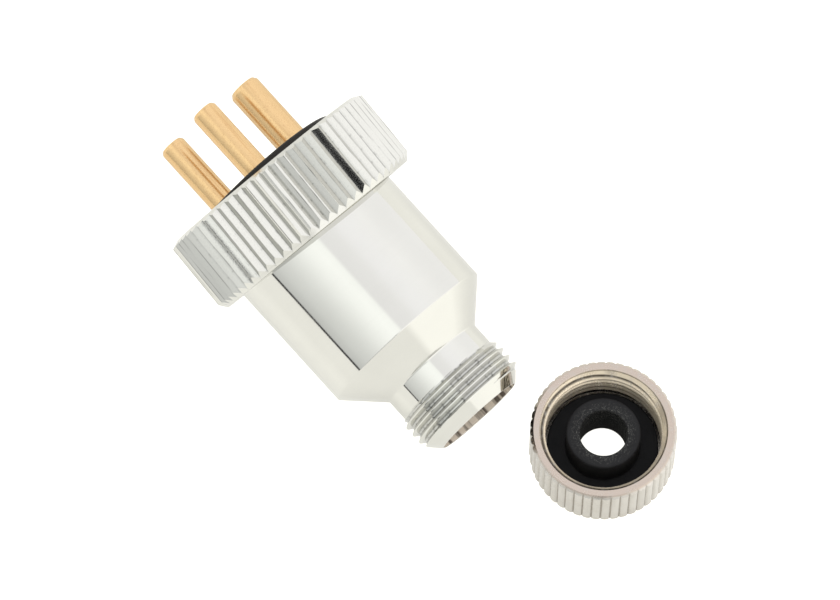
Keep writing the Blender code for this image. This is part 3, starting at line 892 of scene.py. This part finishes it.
def build_contacts():
    bore_end = BARREL_Z + WIRE_BORE_DEPTH
    for node, (shaft, barrel, tip, angle) in CONTACTS.items():
        pin = turned("turned_" + node, [
            (WIRE_BORE_R, BARREL_Z, 0.1 * MM),
            (barrel, BARREL_Z, 0.2 * MM),
            (barrel, COLLAR_Z[0], 0.05 * MM),
            (barrel + COLLAR_STEP, COLLAR_Z[0], 0.1 * MM),
            (barrel + COLLAR_STEP, COLLAR_Z[1], 0.1 * MM),
            (shaft, COLLAR_Z[1], 0.05 * MM),
            (shaft, tip - PIN_TAPER[1] * shaft, 0.5 * MM),
            (PIN_TAPER[0] * shaft, tip, 0.4 * MM),
            (0, tip, 0),
            (0, bore_end + 0.6 * MM, 0),
            (WIRE_BORE_R, bore_end, 0),
        ], SMALL_COLUMNS)
        place = around(angle, PIN_CIRCLE_R)
        hole = cutter(CLAMP_R + GAP / 2, 0, 2 * barrel)
        combine(pin, hole, Matrix.Translation(-place) @ side_place(angle, PIN_CIRCLE_R, CLAMP_Z))
        show(pin, node, "insert", PIN_BRASS, PLUG @ Matrix.Translation(place))


def build_screws():
    for i, (_, _, _, angle) in enumerate(CONTACTS.values(), start=1):
        screw = rod("clamp_screw_" + str(i), CLAMP_R, 0, CLAMP_LENGTH, 0.15 * MM, HOLE_COLUMNS)
        combine(screw, block("slot", CLAMP_SLOT), Matrix.Translation((0, 0, CLAMP_LENGTH)))
        place = PLUG @ side_place(angle, CLAMP_INNER_R, CLAMP_Z)
        show(screw, "terminal_screw_" + str(i), "insert", STEEL, place, soften=0.03 * MM)
    back = BLOCK_Z[0] + GAP
    head_top = back + SCREW_HEAD_HEIGHT
    screw = turned("centre_screw", [
        (0, back, 0),
        (SCREW_HEAD_R, back, 0.5 * MM),
        (SCREW_HEAD_R, head_top, 0.1 * MM),
        (SCREW_R, head_top, 0.05 * MM),
        (SCREW_R, SCREW_END_Z, 0.3 * MM),
        (0, SCREW_END_Z, 0),
    ], SMALL_COLUMNS)
    combine(screw, block("slot", SCREW_SLOT), Matrix.Translation((0, 0, back)))
    show(screw, "block_screw", "insert", STEEL, PLUG, soften=0.03 * MM)


def build_earth_spring():
    _, barrel, _, angle = CONTACTS["earth_pin"]
    tag = rod("earth_tag", TAG_R, TAG_Z, TAG_Z + TAG_THICKNESS, 0.06 * MM)
    turn = Matrix.Rotation(angle, 4, "Z")
    tongue = block("tongue", (*TONGUE, TAG_THICKNESS))
    outwards = around(0, TONGUE_R - PIN_CIRCLE_R, TAG_Z + TAG_THICKNESS / 2)
    combine(tag, tongue, turn @ Matrix.Translation(outwards), "UNION")
    combine(tag, cutter(barrel + GAP, TAG_Z - MM, TAG_Z + 2 * MM))
    place = PLUG @ Matrix.Translation(around(angle, PIN_CIRCLE_R))
    show(tag, "earth_spring", "insert", SHEET_BRASS, place)


# Gland nut.

def reed(column):
    """Radius and painted groove shade of the nut's outside: wide, slightly rounded reeds between narrow
    grooves.
    """
    across = abs(column % REED_COLUMNS - REED_COLUMNS / 2) / (REED_COLUMNS / 2)
    depth = across ** 4
    return NUT_R - REED_DEPTH * depth, GROOVE_SHADE * depth


def reed_foot(column):
    """Where the reeds meet the slant round the nut's foot."""
    inset, rise = NUT_FOOT_EDGE
    radius, hollow_shade = reed(column)
    return radius, rise * (1 - (NUT_R - radius) / (REED_DEPTH + inset)), hollow_shade


def reed_head(column):
    """Where the reeds meet the slant round the nut's rim."""
    radius, hollow_shade = reed(column)
    return radius, NUT_HEIGHT - NUT_RIM_EDGE * (radius - NUT_RIM_R) / (NUT_R - NUT_RIM_R), hollow_shade


def nut_thread(phase, z):
    """The nut's inside: the thread between its lead-in and the plain part near the floor."""
    lead_in = NUT_MOUTH_R - (NUT_HEIGHT - NUT_MOUTH_DEPTH - z)
    fade = THREAD_R - max(z - NUT_THREAD_END_Z, 0)
    depth = vee(phase, 0.16, 0.1)
    thread = NUT_MINOR_R + (THREAD_R - NUT_MINOR_R) * depth
    # The second value is painted shade towards the thread's roots, and the third marks the inside as bare.
    return max(thread, lead_in, fade), min(max(depth - 0.3, 0) / 0.35, 1), 1.0


def build_gland_nut():
    nut = Turning(NUT_REEDS * REED_COLUMNS)
    foot = NUT_R - REED_DEPTH - NUT_FOOT_EDGE[0]
    mouth = NUT_HEIGHT - NUT_MOUTH_DEPTH
    edge = 0.1 * MM
    nut.strip((NUT_HOLE_R + edge, 0, 0.0), (foot, 0, 0.0), reed_foot)
    nut.strip(reed_foot, reed_head)
    # The mouth's wall gets painted shade.
    nut.strip(reed_head, (NUT_RIM_R - 0.03 * MM, NUT_HEIGHT, 0.0), (NUT_MOUTH_R + 0.08 * MM, NUT_HEIGHT, 0.0),
              (NUT_MOUTH_R, NUT_HEIGHT - 0.08 * MM, 0.3, 1.0), (NUT_MOUTH_R, mouth, 0.9, 1.0))
    nut.thread(NUT_FIRST_CREST_Z % PITCH, NUT_THREAD_END_Z, mouth, nut_thread, upwards=False)
    # The plain wall and the floor inside get painted shade.
    nut.strip(
        (THREAD_R, NUT_THREAD_END_Z, 0.5),
        (THREAD_R, NUT_FLOOR + 0.2 * MM, 0.5),
        (THREAD_R - 0.2 * MM, NUT_FLOOR, 0.5),
        (NUT_HOLE_R + edge, NUT_FLOOR, 0.2),
        (NUT_HOLE_R, NUT_FLOOR - edge, 0.0),
        (NUT_HOLE_R, edge, 0.0),
        (NUT_HOLE_R + edge, 0, 0.0),
    )
    show(nut.finish("reeded_nut", 28), "gland_nut", "gland_nut", NICKEL, NUT, soften=0.02 * MM)


def build_grommet():
    low, high = GROMMET_FLANGE
    turning = Turning(MIDDLE_COLUMNS)
    outline = rounded([
        (GROMMET_HOLE_R, GAP, 0.15 * MM),
        (GROMMET_SPIGOT_R, GAP, 0.15 * MM),
        (GROMMET_SPIGOT_R, low, 0.1 * MM),
        (GROMMET_FLANGE_R, low, 0.2 * MM),
        (GROMMET_FLANGE_R, high, 0.25 * MM),
        (GROMMET_TUBE_R, high, 0.35 * MM),
        (GROMMET_TUBE_R, GROMMET_TOP, 0.3 * MM),
        (GROMMET_HOLE_R, GROMMET_TOP, 0.25 * MM),
    ])
    worn_r = GROMMET_HOLE_R + GROMMET_WORN_EDGE[0]
    worn_bottom = GROMMET_TOP - GROMMET_WORN_EDGE[1]
    hole_top = GROMMET_TOP - 0.2 * MM
    points = []
    for r, z in outline:
        # The hole's wall gets painted shade.
        in_hole = 1.0 if z < hole_top and r < GROMMET_HOLE_R + 0.01 * MM else 0.0
        worn = 1.0 if z > worn_bottom and r < worn_r else 0.0
        points.append((r, z, in_hole, 0.0, worn))
    turning.strip(*points, points[0])
    show(turning.finish("cord_seal"), "cord_grommet", "plug_body", RUBBER, NUT)
    washer = tube("thin_washer", GROMMET_SPIGOT_R + GAP, GROMMET_FLANGE_R, *GLAND_WASHER_Z, 0.05 * MM,
                  MIDDLE_COLUMNS, 2)
    show(washer, "gland_washer", "plug_body", STEEL, NUT)


# Studio.

def camera_axes():
    """The camera's right, up and back directions, with its roll."""
    ahead = Vector((sin(CAMERA_TURN), cos(CAMERA_TURN), 0))
    right = Vector((cos(CAMERA_TURN), -sin(CAMERA_TURN), 0))
    up = ahead * sin(CAMERA_RISE) + Vector((0, 0, cos(CAMERA_RISE)))
    back = -ahead * cos(CAMERA_RISE) + Vector((0, 0, sin(CAMERA_RISE)))
    tilted = right * cos(CAMERA_ROLL) + up * sin(CAMERA_ROLL)
    return tilted, back.cross(tilted), back


def add_camera():
    right, up, back = camera_axes()
    camera = bpy.data.objects.new("camera", bpy.data.cameras.new("camera"))
    camera.data.lens = LENS
    camera.data.sensor_width = 36
    camera.data.clip_start = 0.05
    camera.data.clip_end = 20
    turn = Matrix((right, up, back)).transposed().to_4x4()
    camera.matrix_world = Matrix.Translation(CAMERA_AIM + back * CAMERA_DISTANCE) @ turn
    bpy.context.scene.collection.objects.link(camera)
    bpy.context.scene.camera = camera


def add_floor():
    """A pale table that glows in bands beside the plug and in a pool behind it, as the metal mirrors it."""
    mesh = bmesh.new()
    bmesh.ops.create_circle(mesh, cap_ends=True, segments=128, radius=FLOOR_R)
    data = bpy.data.meshes.new("floor")
    mesh.to_mesh(data)
    mesh.free()
    floor = bpy.data.objects.new("floor", data)
    bpy.context.scene.collection.objects.link(floor)
    finish = Finish("pale_floor", FLOOR_COLOR, 0.9, 0.0)
    data.materials.append(finish.material)
    finish.place = finish.add("ShaderNodeTexCoord").outputs["Object"]
    finish.shader.inputs["Specular IOR Level"].default_value = 0
    finish.shader.inputs["Emission Color"].default_value = (*FLOOR_GLOW, 1)
    split = finish.add("ShaderNodeSeparateXYZ")
    finish.put(split.inputs[0], finish.place)
    x, y, _ = split.outputs
    pool = finish.math("MULTIPLY", finish.spread(x, POOL_GLOW, 0, *POOL_X), finish.spread(y, 1, 0, *POOL_Y))
    stops = []
    for band_y, strength in FLOOR_BANDS:
        stops.append(((band_y + FLOOR_BAND) / (2 * FLOOR_BAND), (strength, strength, strength)))
    bands = finish.ramp(finish.spread(y, 0, 1, -FLOOR_BAND, FLOOR_BAND), stops)
    beside = finish.spread(x, 0, 1, *BESIDE_X)
    behind = finish.math("MULTIPLY", finish.math("SUBTRACT", 1, beside), BEHIND_GLOW)
    around_plug = finish.math("ADD", finish.math("MULTIPLY", beside, bands), behind)
    seen = finish.math("MULTIPLY", finish.add("ShaderNodeLightPath").outputs["Is Camera Ray"], SEEN_GLOW)
    glow = finish.math("ADD", finish.math("ADD", pool, around_plug), seen)
    finish.put(finish.shader.inputs["Emission Strength"], glow)
    finish.tint(finish.spread(finish.noise(0.05, 3), 0, 0.3), [0.97 * side for side in FLOOR_COLOR])
    finish.done()


def add_lamp(name, direction, distance, size, energy, color):
    """A soft lamp that lights matt surfaces but isn't mirrored in the metal."""
    lamp = bpy.data.lights.new(name, "AREA")
    lamp.shape = "DISK"
    lamp.size = size
    lamp.energy = energy
    lamp.color = color
    obj = bpy.data.objects.new(name, lamp)
    back = Vector(direction).normalized()
    obj.location = back * distance
    obj.rotation_euler = back.to_track_quat("Z", "Y").to_euler()
    obj.visible_glossy = False
    bpy.context.scene.collection.objects.link(obj)


class Sky(Nodes):
    """The studio's walls as the metal mirrors them, by direction."""

    def __init__(self):
        world = bpy.data.worlds.new("studio")
        bpy.context.scene.world = world
        world.use_nodes = True
        super().__init__(world.node_tree)
        self.direction = self.add("ShaderNodeTexCoord").outputs["Generated"]
        self.color = None

    def along(self, axis):
        """How far the direction points along an axis."""
        node = self.add("ShaderNodeVectorMath", operation="DOT_PRODUCT")
        self.put(node.inputs[0], self.direction)
        self.put(node.inputs[1], axis)
        return node.outputs["Value"]

    def between(self, value, low, high):
        """0 below low, 1 above high, and a soft ramp between; it falls if low is above high."""
        node = self.add("ShaderNodeMapRange", interpolation_type="SMOOTHSTEP")
        self.put(node.inputs["Value"], value)
        ends = (low, high, 0, 1) if low < high else (high, low, 1, 0)
        for name, end in zip(("From Min", "From Max", "To Min", "To Max"), ends):
            node.inputs[name].default_value = end
        return node.outputs["Result"]

    def where(self, *parts):
        """1 where all the parts are 1."""
        product = parts[0]
        for part in parts[1:]:
            product = self.math("MULTIPLY", product, part)
        return product

    def paint(self, color, amount):
        """Lays a colour over what is there by this amount."""
        self.color = self.mix(amount, self.color, color)

    def done(self):
        background = self.tree.nodes["Background"]
        self.put(background.inputs["Color"], self.color)
        background.inputs["Strength"].default_value = SKY_STRENGTH


def tinted(shades):
    """The ramp of these shades in the sky's tint."""
    return [(position, shade * SKY_TINT) for position, shade in shades]


def add_sky():
    """A white softbox on the far side of the plug, a grey card on the near side, and what lies round them."""
    _, _, back = camera_axes()
    heading = PLUG.to_3x3().col[2]
    far_side = -heading.cross(back).normalized()
    if far_side.y < 0:
        far_side = -far_side
    sky = Sky()
    height = sky.along((0, 0, 1))
    side = sky.along(far_side)
    near = sky.along(-far_side)
    ahead = sky.along(heading)
    behind = sky.along(-heading)
    sky.color = sky.ramp(side, tinted(SOFTBOX))
    sky.paint(sky.ramp(near, CARD), sky.between(near, -0.05, 0.05))
    lower = sky.between(ahead, 0.05, 0.01)
    sky.paint(CARD_BEHIND, lower)
    sky.paint(sky.ramp(side, tinted(SOFTBOX_BEHIND)), sky.where(lower, sky.between(side, -0.03, 0.03)))
    low = sky.between(height, 0.055, 0.035)
    sky.paint(GAP_COLOR, sky.where(low, sky.between(side, 0.85, 0.93), sky.between(ahead, 0.05, 0.08)))
    strip = sky.where(sky.between(behind, 0.48, 0.50), sky.between(behind, 0.58, 0.56))
    sky.paint(SEAM_COLOR, sky.where(strip, sky.between(side, 0.05, 0.1)))
    back_wall = sky.between(behind, 0.62, 0.80)
    sky.paint(BACK_WALL, back_wall)
    sky.paint(BACK_WALL_FAR, sky.where(back_wall, sky.between(side, -0.02, 0.2)))
    sky.paint(GROUND, sky.between(height, 0.0, -0.01))
    lens = sky.along(Matrix.Rotation(LENS_DISC_TURN, 3, heading) @ back)
    sky.paint(LENS_DISC_COLOR, sky.between(lens, cos(LENS_DISC[1]), cos(LENS_DISC[0])))
    sky.paint(BACKDROP, sky.add("ShaderNodeLightPath").outputs["Is Camera Ray"])
    sky.done()


build_shell()
build_coupling_ring()
build_ring_retainers()
build_insulators()
build_contacts()
build_screws()
build_earth_spring()
build_gland_nut()
build_grommet()

add_camera()
add_floor()
add_lamp("top_lamp", (0.1, -0.2, 1), 1.2, 1.0, 1.5, (1.0, 0.99, 0.97))
add_sky()
bpy.context.scene.view_settings.view_transform = "Standard"
